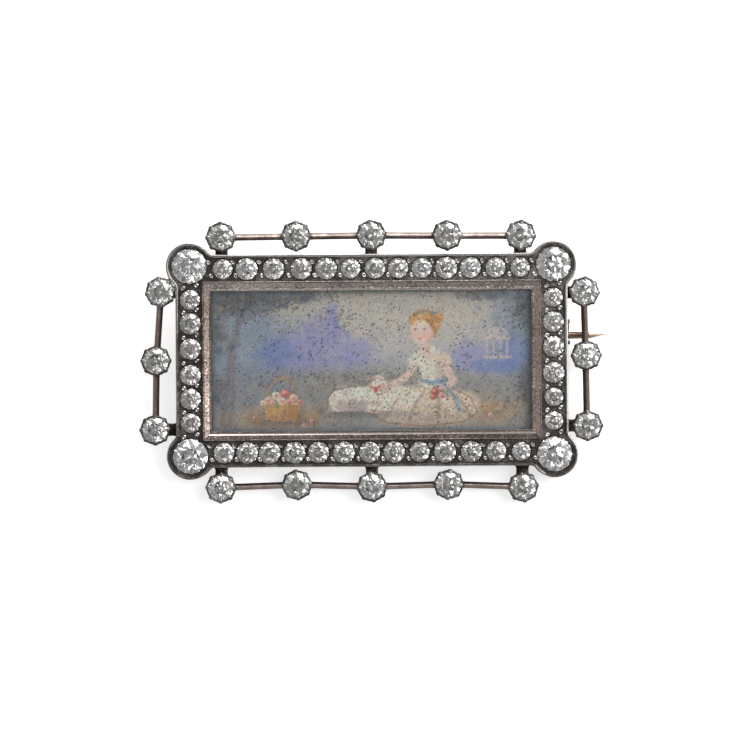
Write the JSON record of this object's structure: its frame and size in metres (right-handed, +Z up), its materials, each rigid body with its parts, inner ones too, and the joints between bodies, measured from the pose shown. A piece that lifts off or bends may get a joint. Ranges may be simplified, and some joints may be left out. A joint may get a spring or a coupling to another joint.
{
  "type": "painted miniature brooch",
  "caption": "Rectangular brooch: a painted miniature under glass in a bezel, a stone-set band with corner lobes, an outer row of collets on rails, and a hinged pin.",
  "frame": {"origin": "on the surface that the brooch lies on, under the middle of its bounding box", "axes": "+X along the brooch's length, towards the point of the pin; +Z up; the painted front faces up, leaning back from +Z by the angle at which the brooch lies on its hinge, catch and lower collets"},
  "size_m": [0.0508, 0.0304, 0.0065],
  "materials": {
    "silver": "old silver over a gold back, darkly tarnished in the channel and worn light along the rims",
    "rose_gold": "worn rose gold, satin",
    "diamond": "old-cut diamonds, clear with grey and white reflections",
    "cover_glass": "clear, polished, bevelled",
    "painting": "stippled watercolour on a thin ivory-coloured wafer, with fine dark specks"
  },
  "bodies": {
    "brooch": {"border": "silver", "bezel": "rose_gold", "cover_glass": "cover_glass", "miniature": "painting", "back_plate": "rose_gold", "hinge_rivet": "rose_gold", "border_stones": "diamond", "corner_stone_1": "diamond", "corner_stone_2": "diamond", "corner_stone_3": "diamond", "corner_stone_4": "diamond", "gallery_stone_1": "diamond", "gallery_stone_2": "diamond", "gallery_stone_3": "diamond", "gallery_stone_4": "diamond", "gallery_stone_5": "diamond", "gallery_stone_6": "diamond", "gallery_stone_7": "diamond", "gallery_stone_8": "diamond", "gallery_stone_9": "diamond", "gallery_stone_10": "diamond", "gallery_stone_11": "diamond", "gallery_stone_12": "diamond", "gallery_stone_13": "diamond", "gallery_stone_14": "diamond", "gallery_stone_15": "diamond", "gallery_stone_16": "diamond"},
    "pin": {"pin_stem": "rose_gold"}
  },
  "joints": [
    {"name": "pin_hinge", "type": "hinge", "parent": "brooch", "child": "pin", "pos_m": [-0.01993, 0.00327, 0.00113], "axis": [0, 0.9529, -0.3032], "range_deg": [0, 70]}
  ]
}
